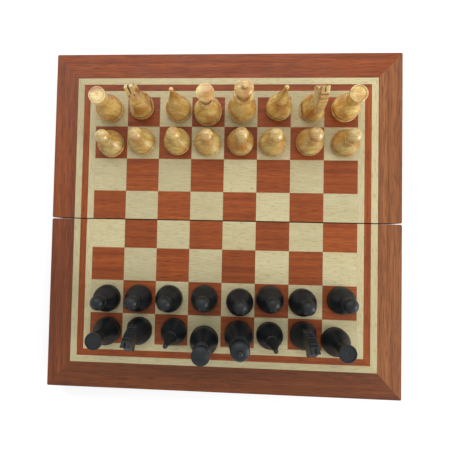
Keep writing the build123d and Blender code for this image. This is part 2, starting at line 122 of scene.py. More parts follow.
def mix_colours(tree, share, first, second, blend="MIX"):
    """Goes from the first colour to the second as share goes from 0 to 1."""
    factor, first_in, second_in, colour_out = 0, 6, 7, 2
    inputs = {factor: share, first_in: first, second_in: second}
    return add(tree, "ShaderNodeMix", inputs, data_type="RGBA", blend_type=blend).outputs[colour_out]


def stretch(tree, value, low, high, to_low=0.0, to_high=1.0):
    """Maps the values from low to high onto another pair, and holds them there."""
    inputs = {"Value": value, "From Min": low, "From Max": high, "To Min": to_low, "To Max": to_high}
    return add(tree, "ShaderNodeMapRange", inputs).outputs[0]


def shade_by(tree, colour, value, low, high):
    """Multiplies a colour by low where the value is 0 and by high where it is 1."""
    return mix_colours(tree, 1.0, colour, stretch(tree, value, 0.0, 1.0, low, high), "MULTIPLY")


def noise(tree, place, scale, detail):
    """A cloud of values round one half, with about so many swells for each unit of the place."""
    return add(tree, "ShaderNodeTexNoise", {"Vector": place, "Scale": scale, "Detail": detail}).outputs[0]


def sum_of(tree, operation, *values):
    """One sum, such as ADD or MULTIPLY, on numbers or sockets."""
    return add(tree, "ShaderNodeMath", dict(enumerate(values)), operation=operation).outputs[0]


def read_value(tree, name):
    """The number that every point of a piece carries under a name."""
    return add(tree, "ShaderNodeAttribute", attribute_name=name).outputs["Fac"]


def where(tree):
    """The place of a point on its piece, in metres."""
    return add(tree, "ShaderNodeTexCoord").outputs["Object"]


def new_group(name, inputs, outputs):
    """An empty node group with its sockets, which are given as names and kinds."""
    group = bpy.data.node_groups.new(name, "ShaderNodeTree")
    for way, sockets in (("INPUT", inputs), ("OUTPUT", outputs)):
        for label, kind in sockets.items():
            group.interface.new_socket(name=label, in_out=way, socket_type=f"NodeSocket{kind}")
    return group, group.nodes.new("NodeGroupInput"), group.nodes.new("NodeGroupOutput")


def new_material(name):
    """A material with its Principled shader, ready for a recipe."""
    material = bpy.data.materials.new(name)
    material.use_nodes = True
    return material, material.node_tree, material.node_tree.nodes["Principled BSDF"]


def dress(tree, shader, colour, roughness, normal, plain):
    """Links what changes over the surface, and sets what is the same all over on the shader's own sockets."""
    for label, socket in (("Base Color", colour), ("Roughness", roughness), ("Normal", normal)):
        tree.links.new(socket, shader.inputs[label])
    for label, value in plain.items():
        shader.inputs[label].default_value = value


print("node helpers ready")

# %% [markdown]
# Wood shows three things at once: broad bands of growth, fine fibres, and short flecks or pores.
# Each is a noise that is stretched a long way along the grain and little across it.
# All the woods here share one group and give it their own stretches, as they are all cut from logs.


# %% Shared effect: wood grain
BAND_EDGES, FIBRE_EDGES = (0.3, 0.7), (0.25, 0.75)
FLECK_FADE = 0.08


def build_wood_grain():
    """Three noises of the place times a stretch: bands, fibre, and flecks where the last noise is highest."""
    details = {"Band": 4.0, "Fibre": 2.0, "Fleck": 1.0}
    stretches = {f"{label} Stretch": "Vector" for label in details}
    group, given, result = new_group(
        "wood_grain",
        {"Vector": "Vector", **stretches, "Fleck Start": "Float"},
        {"Bands": "Float", "Fibre": "Float", "Flecks": "Float"},
    )
    noises = {}
    for label, detail in details.items():
        factors = {0: given.outputs["Vector"], 1: given.outputs[f"{label} Stretch"]}
        place = add(group, "ShaderNodeVectorMath", factors, operation="MULTIPLY").outputs[0]
        noises[label] = noise(group, place, 1.0, detail)
    fleck_start = given.outputs["Fleck Start"]
    fleck_full = sum_of(group, "ADD", fleck_start, FLECK_FADE)
    group.links.new(stretch(group, noises["Band"], *BAND_EDGES), result.inputs["Bands"])
    group.links.new(stretch(group, noises["Fibre"], *FIBRE_EDGES), result.inputs["Fibre"])
    group.links.new(stretch(group, noises["Fleck"], fleck_start, fleck_full), result.inputs["Flecks"])
    return group


wood_grain = build_wood_grain()
print("group", wood_grain.name)

# %% [markdown]
# Lacquer is never even: it is a little duller where hands have been and has a faint ripple from the brush.
# A slow noise gives every lacquered wood its dull patches, and a quick one gives the men their ripple.


# %% Shared effect: uneven lacquer
PATCHES_PER_METRE, PATCH_EDGES = 45.0, (0.3, 0.7)
RIPPLES_PER_METRE = 420.0


def build_lacquer():
    """A slow noise between two roughness values, and a quick noise as a ripple height."""
    group, given, result = new_group(
        "uneven_lacquer",
        {"Vector": "Vector", "Smooth": "Float", "Dull": "Float"},
        {"Roughness": "Float", "Ripple": "Float"},
    )
    place, smooth, dull = (given.outputs[label] for label in ("Vector", "Smooth", "Dull"))
    patches = noise(group, place, PATCHES_PER_METRE, 3.0)
    group.links.new(stretch(group, patches, *PATCH_EDGES, smooth, dull), result.inputs["Roughness"])
    group.links.new(noise(group, place, RIPPLES_PER_METRE, 1.0), result.inputs["Ripple"])
    return group


uneven_lacquer = build_lacquer()
print("group", uneven_lacquer.name)

# %% [markdown]
# The board's woods differ only in colours, stretches and flecks, so one function makes them all.
# A leaf of veneer reads its own UV map, turned to its grain, and a rail reads where it lies in the frame.
# A painted picture of wood could be wrapped round each piece, but it would run the same way on all of them.

# %% A lacquered board wood
BOARD_SHADE, LEAF_TINT = (0.84, 1.14), (0.9, 1.06)
BOARD_DULLER = 0.14
PORE_DEPTH = -0.7
BOARD_DENTS = {"Strength": 0.25, "Distance": 0.00006}
BOARD_GLOSS = {"Specular IOR Level": 0.25, "Coat Weight": 0.06, "Coat Roughness": 0.25}


def board_wood(name, source, grain, fleck_share, polish, *colours):
    """Bands mix two colours, fibre shades them, flecks lay a third on top; pores and fibre dent the face."""
    light, dark, fleck = (tone(*colour) for colour in colours)
    material, tree, shader = new_material(name)
    if source == "leaf":
        place = add(tree, "ShaderNodeUVMap", uv_map="grain").outputs[0]
    else:
        turn = math.pi / 2 if source == "rail_y" else 0.0
        turned = {"Vector": where(tree), "Rotation": (0.0, 0.0, turn)}
        place = add(tree, "ShaderNodeMapping", turned).outputs[0]
    wood = add(tree, "ShaderNodeGroup", {"Vector": place, **grain}, node_tree=wood_grain)
    colour = mix_colours(tree, wood.outputs["Bands"], light, dark)
    colour = shade_by(tree, colour, wood.outputs["Fibre"], *BOARD_SHADE)
    if source == "leaf":
        colour = shade_by(tree, colour, read_value(tree, "leaf"), *LEAF_TINT)
    share = sum_of(tree, "MULTIPLY", wood.outputs["Flecks"], fleck_share)
    colour = mix_colours(tree, share, colour, fleck)
    gloss = {"Vector": place, "Smooth": polish, "Dull": polish + BOARD_DULLER}
    finish = add(tree, "ShaderNodeGroup", gloss, node_tree=uneven_lacquer)
    dents = sum_of(tree, "MULTIPLY_ADD", wood.outputs["Flecks"], PORE_DEPTH, wood.outputs["Fibre"])
    bump = add(tree, "ShaderNodeBump", {**BOARD_DENTS, "Height": dents})
    dress(tree, shader, colour, finish.outputs["Roughness"], bump.outputs[0], BOARD_GLOSS)
    return material


print("board wood recipe ready")

# %% [markdown]
# Now the recipe gets its woods. Pale beech has short tan flecks, and the red wood has long dark pores.
# Each wood has a light and a dark tone for its bands and a third for flecks or pores.
# The rails were sawn from different boards, so each has its own tones, from dark brown to golden; the near
# ones also carry painted shade.
# Under the veneer and inside the trays is bare plywood, paler and duller.

# %% The board's woods
beech_grain = {
    "Band Stretch": (9.0, 70.0, 70.0),
    "Fibre Stretch": (70.0, 1400.0, 1400.0),
    "Fleck Stretch": (150.0, 1000.0, 1000.0),
    "Fleck Start": 0.61,
}
red_grain = {
    "Band Stretch": (6.0, 240.0, 240.0),
    "Fibre Stretch": (36.0, 1500.0, 1500.0),
    "Fleck Stretch": (70.0, 2600.0, 2600.0),
    "Fleck Start": 0.53,
}
# Where the grain is read, its stretches, share of flecks and polish; then light, dark and fleck tones.
WOOD_PLANS = {
    "pale_veneer": ("leaf", beech_grain, 0.6, 0.42, (210, 198, 155), (202, 187, 142), (174, 137, 86)),
    "red_veneer": ("leaf", red_grain, 0.75, 0.42, (171, 86, 33), (137, 61, 24), (98, 44, 18)),
    "red_rail_far": ("rail_x", red_grain, 0.7, 0.4, (162, 79, 32), (126, 58, 23), (85, 38, 17)),
    # The near rails' darker tones are partly their own wood and partly painted shade.
    "red_rail_near": ("rail_x", red_grain, 0.7, 0.4, (128, 68, 33), (99, 52, 27), (68, 35, 19)),
    "red_rail_far_left": ("rail_y", red_grain, 0.7, 0.4, (154, 80, 40), (120, 60, 31), (82, 40, 22)),
    "red_rail_near_left": ("rail_y", red_grain, 0.7, 0.4, (138, 72, 38), (107, 55, 30), (73, 37, 21)),
    "red_rail_right": ("rail_y", red_grain, 0.7, 0.36, (166, 104, 60), (131, 76, 44), (90, 50, 29)),
    "bare_plywood": ("rail_x", beech_grain, 0.5, 0.6, (214, 184, 136), (198, 164, 114), (170, 130, 84)),
}
woods = {name: board_wood(name, *plan) for name, plan in WOOD_PLANS.items()}
print("board woods", list(woods))

# %% [markdown]
# The men are turned from sticks, so their grain runs upwards, and one stick is paler than the next.
# Their lacquer is uneven, in thick and thin clouds; grooves are painted darker, as painted shade and gathered
# lacquer.
# Each man carries its stick's paleness, with painted light and shade by kind, and its painted shade; the
# colour reads both.

# %% The colour of a turned man
TURNED_GRAIN = {
    "Band Stretch": (60.0, 320.0, 24.0),
    "Fibre Stretch": (180.0, 900.0, 60.0),
    "Fleck Stretch": (900.0, 900.0, 130.0),
    "Fleck Start": 0.6,
}
TURNED_SHADE, STICK_TINT = (0.78, 1.2), (0.8, 1.2)
CLOUDS_PER_METRE, CLOUD_EDGES, CLOUD_SHARE = 60.0, (0.46, 0.68), 0.75
TURNED_FLECKS = 0.3


def turned_colour(tree, place, colours):
    """Bands mix two tones, fibre and paleness shade them, lacquer clouds them, flecks and painted shade go
    darker.
    """
    light, dark, cloud, groove = (tone(*colour) for colour in colours)
    wood = add(tree, "ShaderNodeGroup", {"Vector": place, **TURNED_GRAIN}, node_tree=wood_grain)
    colour = mix_colours(tree, wood.outputs["Bands"], light, dark)
    colour = shade_by(tree, colour, wood.outputs["Fibre"], *TURNED_SHADE)
    # The paleness is chance, and painted light and shade between kinds: officers are drawn paler, pawns
    # darker.
    colour = shade_by(tree, colour, read_value(tree, "stick"), *STICK_TINT)
    thick = stretch(tree, noise(tree, place, CLOUDS_PER_METRE, 2.0), *CLOUD_EDGES, 0.0, CLOUD_SHARE)
    colour = mix_colours(tree, thick, colour, cloud)
    fleck_share = sum_of(tree, "MULTIPLY", wood.outputs["Flecks"], TURNED_FLECKS)
    colour = mix_colours(tree, fleck_share, colour, groove)
    # Painted shade: grooves, the band above the foot and the knights' cuts go toward the last, darkest tone.
    return mix_colours(tree, read_value(tree, "groove"), colour, groove)


print("men's colour recipe ready")

# %% [markdown]
# The lathe leaves fine rings that follow the profile. Rings by height alone would fail on a flat shoulder,
# so each man also carries how far along its profile a point lies, and a noise along that length draws them.
# One army is clear lacquer on pale wood, high in gloss; the other is stained black and only satin.

# %% Lacquered and stained men
RINGS_PER_METRE, RING_SHARE = 1900.0, 0.8
TURNED_DULLER = 0.12
TURNED_DENTS = {"Strength": 0.2, "Distance": 0.00008}
COAT_ROUGHNESS = 0.06


def turned_wood(name, colours, polish, gloss, coat):
    """The turned colour under uneven lacquer, with lathe rings and ripple added up as one small relief."""
    material, tree, shader = new_material(name)
    place = where(tree)
    colour = turned_colour(tree, place, colours)
    length = {"W": read_value(tree, "along"), "Scale": RINGS_PER_METRE, "Detail": 2.0}
    rings = add(tree, "ShaderNodeTexNoise", length, noise_dimensions="1D").outputs[0]
    lacquer = {"Vector": place, "Smooth": polish, "Dull": polish + TURNED_DULLER}
    finish = add(tree, "ShaderNodeGroup", lacquer, node_tree=uneven_lacquer)
    height = sum_of(tree, "MULTIPLY_ADD", rings, RING_SHARE, finish.outputs["Ripple"])
    bump = add(tree, "ShaderNodeBump", {**TURNED_DENTS, "Height": height})
    plain = {"Specular IOR Level": gloss, "Coat Weight": coat, "Coat Roughness": COAT_ROUGHNESS}
    dress(tree, shader, colour, finish.outputs["Roughness"], bump.outputs[0], plain)
    return material


# Each wood's last tone colours its flecks and the painted shade in grooves.
honey = ((234, 211, 134), (200, 150, 64), (178, 108, 36), (112, 50, 10))
ebony = ((14, 19, 22), (23, 28, 31), (30, 33, 34), (8, 10, 12))
honey_wood = turned_wood("honey_lacquered_wood", honey, polish=0.22, gloss=0.5, coat=0.8)
black_wood = turned_wood("black_stained_wood", ebony, polish=0.38, gloss=0.28, coat=0.05)
print("men's woods", honey_wood.name, black_wood.name)

# %% [markdown]
# Hinges, screws and hooks are plain brass. Rolled brass has fine scratches one way and browns in patches.
# The tarnish is a slow noise between two metal colours, and the scratches are a noise stretched one way.

# %% Brass
BRIGHT_BRASS, BROWN_BRASS = tone(222, 186, 108), tone(168, 126, 62)
TARNISH_PER_METRE, TARNISH_EDGES, DULL_EDGES = 160.0, (0.35, 0.75), (0.3, 0.8)
BRUSHED = (300.0, 4000.0, 4000.0)
BRASS_POLISH = (0.24, 0.46)
SCRATCHES = {"Strength": 0.15, "Distance": 0.00003}


def build_brass():
    """A slow noise mixes bright and browned metal; a long thin noise scratches it."""
    material, tree, shader = new_material("plain_brass")
    place = where(tree)
    cloud = noise(tree, place, TARNISH_PER_METRE, 4.0)
    colour = mix_colours(tree, stretch(tree, cloud, *TARNISH_EDGES), BRIGHT_BRASS, BROWN_BRASS)
    roughness = stretch(tree, cloud, *DULL_EDGES, *BRASS_POLISH)
    brushed = add(tree, "ShaderNodeMapping", {"Vector": place, "Scale": BRUSHED}).outputs[0]
    bump = add(tree, "ShaderNodeBump", {**SCRATCHES, "Height": noise(tree, brushed, 1.0, 2.0)})
    dress(tree, shader, colour, roughness, bump.outputs[0], {"Metallic": 1.0})
    return material


brass = build_brass()
print("metal", brass.name)

# %% [markdown]
# Rails, panels and brass keep the frame's own solids, because their shapes are plain and right.
# They only need their finish: the outer rails have their grain along the fold, and the side rails across it.
# A bevel could be added to each, but a sanded rail of this kind has crisp edges.


# %% Finish the solids that stay
def finish_node(node, material):
    """Replaces every material of a frame solid."""
    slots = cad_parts[node].data.materials
    slots.clear()
    slots.append(material)


for half in ("far", "near"):
    finish_node(f"{half}_outer_rail", woods[f"red_rail_{half}"])
    finish_node(f"{half}_hinge_rail", woods[f"red_rail_{half}"])
    finish_node(f"{half}_left_rail", woods[f"red_rail_{half}_left"])
    finish_node(f"{half}_right_rail", woods["red_rail_right"])
    finish_node(f"{half}_panel", woods["bare_plywood"])
    finish_node(f"{half}_hinge_leaves", brass)
    finish_node(f"{half}_hinge_screws", brass)
for node in ("hinge_pins", "hook_left", "hook_right", "hook_screws", "catch_studs"):
    finish_node(node, brass)
print("kept solids finished")

# %% [markdown]
# The playing face is marquetry: each square and each strip is a leaf of veneer, cut and laid beside the next.
# A picture of squares could be painted on one face, but real leaves each show their own piece of the log.
# So every leaf is a thin plate with eased edges, its own place in the grain and its own slight tint.

# %% Veneer plans
SQUARE = 33.0
FOLD_GAP = 1.0
ROWS = (28.4, 33.0, 33.0, 30.2)
STRING = 6.6
COLUMNS = 8
ROW_LINES = FOLD_GAP / 2 + np.concatenate([[0.0], np.cumsum(ROWS)])
SQUARES_X = COLUMNS * SQUARE / 2
leaf_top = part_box("far_light_squares")[1][2] / MM
leaf_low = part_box("far_light_squares")[0][2] / MM


def square_plans(light, side):
    """Corners of every light or dark square of one half, counter-clockwise; ranks count from the far edge."""
    row, column = np.meshgrid(np.arange(len(ROWS)), np.arange(COLUMNS), indexing="ij")
    rank = len(ROWS) - 1 - row if side > 0 else len(ROWS) + row
    chosen = ((column + rank) % 2 == 0) == light
    x0 = -SQUARES_X + column[chosen] * SQUARE
    y0, y1 = ROW_LINES[row[chosen]], ROW_LINES[row[chosen] + 1]
    low, high = (y0, y1) if side > 0 else (-y1, -y0)
    corners = [(x0, low), (x0 + SQUARE, low), (x0 + SQUARE, high), (x0, high)]
    return np.stack([np.stack(c, axis=-1) for c in corners], axis=1)


def string_plans(orders, side):
    """Corners of the mitred strips of the given bands: one across and one down each side for every band."""
    plans = []
    for order in orders:
        x0, x1 = SQUARES_X + order * STRING, SQUARES_X + (order + 1) * STRING
        y0, y1 = ROW_LINES[-1] + order * STRING, ROW_LINES[-1] + (order + 1) * STRING
        across = [(-x0, y0), (x0, y0), (x1, y1), (-x1, y1)]
        right = [(x0, ROW_LINES[0]), (x1, ROW_LINES[0]), (x1, y1), (x0, y0)]
        left = [(-x, y) for x, y in right[::-1]]
        plans += [across, left, right]
    plans = np.array(plans)
    if side < 0:
        plans = plans[:, ::-1] * (1.0, -1.0)
    return plans


squares_per_half = len(square_plans(True, 1)) + len(square_plans(False, 1))
print("leaves per half", squares_per_half, "squares and", len(string_plans((0, 1, 2), 1)), "strips")

# %% [markdown]
# A leaf is cut with a knife and sanded after it is glued, which eases its upper edge by a hair.
# That edge is what catches the light between two squares. A Bevel modifier could make it on every leaf,
# but three outlines, two upright and one drawn in, give the same edge and keep each leaf to ten faces.
# Each leaf is then shifted by chance along the log, so no two show the same piece of it.

# %% Cut the leaves
EASE = 0.12
OUTLINES, CORNERS = 3, 4
LEAF_POINTS = OUTLINES * CORNERS
CREASE = 20.0
LONG_STRIP = 2.0
LOG_LENGTH = 400.0
LEAF_SEED = 7


def inset(plans, distance):
    """Moves all edges inwards: a corner goes by the sum of its edges' normals over one plus their product."""
    edge = np.roll(plans, -1, axis=1) - plans
    edge = edge / np.linalg.norm(edge, axis=2, keepdims=True)
    after = np.stack([-edge[..., 1], edge[..., 0]], axis=-1)
    before = np.roll(after, 1, axis=1)
    turn = 1.0 + np.sum(before * after, axis=2, keepdims=True)
    return plans + distance * (before + after) / turn


def cut_leaves(name, plans, draw):
    """Each leaf is three outlines, low, rim and eased top, joined by quads; all leaves are made at once."""
    count = len(plans)
    heights = np.array([leaf_low, leaf_top - EASE, leaf_top])
    outlines = np.stack([plans, plans, inset(plans, EASE)], axis=1)
    tall = np.broadcast_to(heights[None, :, None, None], (count, OUTLINES, CORNERS, 1))
    points = np.concatenate([outlines, tall], axis=-1).reshape(-1, 3)
    corner = np.arange(CORNERS)[None]
    low, top = corner[:, ::-1], corner + LEAF_POINTS - CORNERS
    one_leaf = np.concatenate([low, ring_faces(OUTLINES, CORNERS), top])
    faces = (one_leaf[None] + LEAF_POINTS * np.arange(count)[:, None, None]).reshape(-1, CORNERS)
    piece = make_piece(name, points, faces.tolist(), smooth_angle=CREASE)
    spread = np.ptp(plans, axis=1)
    upright = spread[:, 1] > LONG_STRIP * spread[:, 0]
    shift = draw.random((count, 2)) * LOG_LENGTH
    flat = points[:, :2].reshape(count, LEAF_POINTS, 2)
    flat = np.where(upright[:, None, None], flat[..., ::-1], flat) + shift[:, None]
    store_grain(piece, flat.reshape(-1, 2))
    store_value(piece, "leaf", np.repeat(draw.random(count), LEAF_POINTS))
    return piece


draw = np.random.default_rng(LEAF_SEED)
for half, side in (("far", 1), ("near", -1)):
    kinds = {
        "light_squares": (square_plans(True, side), "pale_veneer"),
        "dark_squares": (square_plans(False, side), "red_veneer"),
        "pale_strings": (string_plans((0, 2), side), "pale_veneer"),
        "red_strings": (string_plans((1,), side), "red_veneer"),
    }
    for kind, (plans, veneer) in kinds.items():
        leaves = cut_leaves(f"{half}_{kind}_veneer", plans, draw)
        leaves.data.materials.append(woods[veneer])
        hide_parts(f"{half}_{kind}")
        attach(leaves, f"{half}_half")
        print(leaves.name, len(plans), "leaves")

# %% [markdown]
# A turner works from a half section: radius against height. The same section makes the mesh.
# It is drawn from straight lines, arcs and flowing curves, and then carried round the axis.
# Blender's Screw modifier could spin it too, but a formula also gives the length along the profile.


# %% Half sections
class Section:
    """Half section of a turned piece, radius and height in millimetres, from the base's middle to the tip."""

    def __init__(self):
        self.points = np.zeros((1, 2))

    def join(self, stretch_points):
        """Adds a stretch that starts at the last point."""
        self.points = np.concatenate([self.points, stretch_points[1:]])

    def line(self, radius, z, spacing=2.0):
        """Start plus a share of the way to the end."""
        start, end = self.points[-1], np.array([radius, z])
        count = max(1, math.ceil(np.linalg.norm(end - start) / spacing))
        share = np.linspace(0.0, 1.0, count + 1)[:, None]
        self.join(start + share * (end - start))

    def arc(self, through, radius, z, spacing=0.45):
        """A circle through three points: its centre is as far from each, and the angle grows evenly."""
        start, middle, end = self.points[-1], np.array(through), np.array([radius, z])
        sides = 2.0 * np.array([middle - start, end - start])
        squares = np.array([middle @ middle - start @ start, end @ end - start @ start])
        centre = np.linalg.solve(sides, squares)
        angles = [math.atan2(p[1] - centre[1], p[0] - centre[0]) for p in (start, middle, end)]
        first, second, last = np.unwrap(angles)
        size = np.linalg.norm(start - centre)
        count = max(6, math.ceil(abs(last - first) * size / spacing))
        angle = np.linspace(first, last, count + 1)
        self.join(centre + size * np.stack([np.cos(angle), np.sin(angle)], axis=-1))

    def flow(self, radius, z, leave, arrive, spacing=0.7):
        """A cubic whose slope at each end is the given way, as long as the straight line between the ends."""
        start, end = self.points[-1], np.array([radius, z])
        reach = np.linalg.norm(end - start)
        leave, arrive = (np.array(way) / np.linalg.norm(way) * reach for way in (leave, arrive))
        t = np.linspace(0.0, 1.0, max(8, math.ceil(reach / spacing)) + 1)[:, None]
        self.join((2 * t**3 - 3 * t**2 + 1) * start + (t**3 - 2 * t**2 + t) * leave
                  + (3 * t**2 - 2 * t**3) * end + (t**3 - t**2) * arrive)

    def bead(self, radius, height, bulge=0.9):
        """A rounded collar: out to its edge, then an arc that swells by the bulge half way up."""
        z = self.points[-1, 1]
        self.line(radius - bulge, z)
        self.arc((radius, z + height / 2), radius - bulge, z + height)

    def rise(self, radius, height):
        """In to a radius and straight up."""
        z = self.points[-1, 1]
        self.line(radius, z)
        self.line(radius, z + height)

    def round_over(self, size):
        """A quarter round, inwards and up by the same size."""
        radius, z = self.points[-1]
        bend = size * math.sqrt(0.5)
        self.arc((radius - size + bend, z + bend), radius - size, z + size)

    def ball(self, radius):
        """A ball that sits on the present radius and closes the tip."""
        seat, z = self.points[-1]
        centre = z + math.sqrt(radius**2 - seat**2)
        self.arc((radius, centre), 0.0, centre + radius)


UPRIGHT = (0.0, 1.0)


def foot_and_bell(base, bell, neck):
    """The foot all men share: plinth, rounded lip, groove, and a full shoulder that flows to the neck."""
    plinth, edge, lip, cove, cove_depth, shoulder = 4.0, 0.6, 0.8, 0.7, 1.8, 0.4
    section = Section()
    section.line(base - edge, 0.0, spacing=base)
    section.line(base, edge)
    section.line(base, plinth - lip)
    section.round_over(lip)
    section.rise(base - cove_depth, cove)
    section.line(base - shoulder, plinth + cove)
    section.flow(neck, plinth + cove + bell, (0.2, 1.0), UPRIGHT)
    return section


print("section tools ready")

# %% [markdown]
# Each kind of man is a few strokes on top of that foot: collars, throats and a head.
# The pawn has a ball, the rook a drum with a shallow recess, the bishop a long mitre with a bead,
# the queen a cup with a low dome, and the king a crown with a knob.


# %% The five turned men
def pawn():
    """Bell, collar, throat and ball."""
    section = foot_and_bell(base=13.4, bell=18.8, neck=4.6)
    section.bead(6.4, height=2.4)
    section.rise(4.4, height=1.4)
    section.ball(7.0)
    return section


def rook():
    """Bell, flare and a drum whose top is turned out a little inside its rim."""
    drum, edge, rim, recess, mark, mark_depth = 8.0, 0.5, 1.0, 0.5, 0.7, 0.4
    flare, wall = 4.5, 11.8
    section = foot_and_bell(base=13.5, bell=23.5, neck=5.9)
    z = section.points[-1, 1]
    section.flow(7.3, z + flare, UPRIGHT, (0.35, 1.0))
    top = z + flare + wall + edge
    section.line(drum, top - edge)
    section.line(drum - edge, top)
    section.line(drum - rim, top)
    section.line(drum - rim - recess / 2, top - recess)
    section.line(mark, top - recess)
    section.line(0.0, top - recess - mark_depth)
    return section


def bishop():
    """Bell, collar and a long mitre, widest just above the collar, that tapers and ends in a bead."""
    belly, mitre = 3.4, 26.6
    section = foot_and_bell(base=12.9, bell=21.3, neck=4.6)
    section.bead(6.0, height=2.4)
    section.rise(4.2, height=0.8)
    z = section.points[-1, 1]
    section.flow(6.1, z + belly, (0.9, 1.0), UPRIGHT)
    section.flow(1.4, z + mitre, (-0.3, 1.0), (-0.14, 1.0))
    section.ball(2.1)
    return section


def queen():
    """Bell, two collars and a cup that opens to a lip and a low dome."""
    cup, lip, dome = 15.6, 0.8, 1.9
    section = foot_and_bell(base=14.0, bell=30.3, neck=5.4)
    section.bead(7.2, height=2.8)
    section.rise(5.6, height=0.7)
    section.bead(6.6, height=2.4)
    section.rise(4.9, height=1.2)
    z = section.points[-1, 1]
    section.flow(8.2, z + cup, (0.15, 1.0), (0.2, 1.0))
    section.round_over(lip)
    section.flow(0.0, section.points[-1, 1] + dome, (-1.0, 0.5), (-1.0, 0.0))
    return section


def king():
    """Bell, wide collar, groove and an opening crown whose dome carries a knob."""
    crown, dome = 13.5, 4.4
    section = foot_and_bell(base=13.8, bell=37.8, neck=6.2)
    section.bead(9.2, height=4.2)
    section.rise(5.4, height=0.6)
    z = section.points[-1, 1]
    section.line(5.7, z)
    section.flow(8.5, z + crown, (0.1, 1.0), (0.2, 1.0))
    section.flow(1.9, z + crown + dome, UPRIGHT, (-1.0, 0.1))
    section.ball(2.4)
    return section


sections = {"pawn": pawn(), "rook": rook(), "bishop": bishop(), "queen": queen(), "king": king()}
print({kind: round(section.points[-1, 1], 2) for kind, section in sections.items()})

# %% [markdown]
# Grooves and a band on the bell just above the foot are painted darker: painted shade, and in grooves
# gathered lacquer.
# A blurred section lies outside the real one in a groove and inside it on a swell, which finds the grooves.
# Blender can work out pointiness while it renders, but an exported model would lose that, so it is stored.

# %% Painted shade in grooves and above the foot
GROOVE_BLUR, GROOVE_DEPTH = 1.5, 0.4
PLINTH_TOP, SHADE_BAND_HEIGHT, SHADE_BAND_SPREAD, SHADE_BAND_SHARE = 4.1, 5.8, 1.7, 0.8
TINY = 1e-9


def along_profile(points):
    """Length from the start of the section to each point."""
    steps = np.linalg.norm(np.diff(points, axis=0), axis=1)
    return np.concatenate([[0.0], np.cumsum(steps)])


def shade_above_foot(points):
    """Painted shade: a bell-shaped curve of the height, just above the foot and nowhere on the plinth."""
    height = points[:, 1]
    return SHADE_BAND_SHARE * np.exp(-(((height - SHADE_BAND_HEIGHT) / SHADE_BAND_SPREAD) ** 2)) * (height > PLINTH_TOP)


def painted_shade(points):
    """Painted shade: how far a blurred section lies outside the real one, 0 to 1, or the foot's band where
    that is more.
    """
    along = along_profile(points)
    weight = np.exp(-(((along[:, None] - along[None]) / GROOVE_BLUR) ** 2))
    weight = weight * np.gradient(along)[None]
    blurred = weight @ points / weight.sum(axis=1, keepdims=True)
    slope = np.gradient(points, axis=0)
    outward = np.stack([slope[:, 1], -slope[:, 0]], axis=-1)
    outward = outward / np.maximum(np.linalg.norm(outward, axis=1, keepdims=True), TINY)
    depth = np.clip(np.sum((blurred - points) * outward, axis=1) / GROOVE_DEPTH, 0.0, 1.0)
    return np.maximum(depth, shade_above_foot(points))


profiles = {kind: section.points for kind, section in sections.items()}
grooves = {kind: painted_shade(profile) for kind, profile in profiles.items()}
print("darkened share", {kind: float(depth.mean().round(2)) for kind, depth in grooves.items()})

# %% [markdown]
# Carried round its axis, a section becomes a man: every point of it draws a ring, and the two ends are poles.
# The rings are joined by quads, and a fan of triangles closes each pole, so the shell has no holes.
# A function may shape the radius on the way round, which the knights will need.

# %% Spin a section
AROUND = 72


def spin(points, radius_of=None):
    """Radius times cosine and sine of an even angle, with a point at each pole; radius_of may reshape it."""
    angle = np.linspace(0.0, 2 * math.pi, AROUND, endpoint=False)
    radius = np.repeat(points[1:-1, :1], AROUND, axis=1)
    height = np.repeat(points[1:-1, 1:], AROUND, axis=1)
    if radius_of is not None:
        radius = radius_of(radius, height, angle[None])
    rings = np.stack([radius * np.cos(angle), radius * np.sin(angle), height], axis=-1).reshape(-1, 3)
    poles = np.array([[0.0, 0.0, points[0, 1]], [0.0, 0.0, points[-1, 1]]])
    ring_count = len(points) - 2
    base, tip = ring_count * AROUND, ring_count * AROUND + 1
    step = np.arange(AROUND)
    beside = (step + 1) % AROUND
    last = (ring_count - 1) * AROUND
    under = np.stack([np.full(AROUND, base), beside, step], axis=-1)
    over = np.stack([last + step, last + beside, np.full(AROUND, tip)], axis=-1)
    faces = ring_faces(ring_count, AROUND).tolist() + under.tolist() + over.tolist()
    return np.concatenate([rings, poles]), faces


def per_point(values):
    """Values along a section, repeated for every point of its rings and once for each pole."""
    return np.concatenate([np.repeat(values[1:-1], AROUND), values[[0, -1]]])


def stand(points, node):
    """Moves a piece onto the middle of a node's foot."""
    low, high = (np.array(corner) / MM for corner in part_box(node))
    middle = (low + high) / 2
    return points + (middle[0], middle[1], low[2])


print("points round a man", AROUND)

# %% [markdown]
# Every man is its own piece, because each is lifted by itself. It stands and rides where its solid does.
# Each man's paleness is drawn by chance, and pawns are drawn darker, officers paler: painted shade and
# painted light.

# %% Turn the men
PAWN_STICKS_AND_SHADE, OFFICER_STICKS_AND_LIGHT = (0.0, 0.3), (0.5, 1.0)
STICK_SEED = 32
army_wood = {"white": (honey_wood, "white_men"), "black": (black_wood, "black_men")}
stick_draw = np.random.default_rng(STICK_SEED)


def hand_over(piece, node):
    """Draws a paleness by chance in its kind's range, finishes the man, lets it stand for its node and ride
    on its body.
    """
    material, slot = army_wood[node.split("_")[0]]
    # The kinds' ranges paint shade on the pawns and light on the officers.
    paleness = stick_draw.uniform(*(PAWN_STICKS_AND_SHADE if "pawn" in node else OFFICER_STICKS_AND_LIGHT))
    store_value(piece, "stick", np.full(len(piece.data.vertices), paleness))
    piece.data.materials.append(material)
    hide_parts(node)
    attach(piece, f"{node}_body")


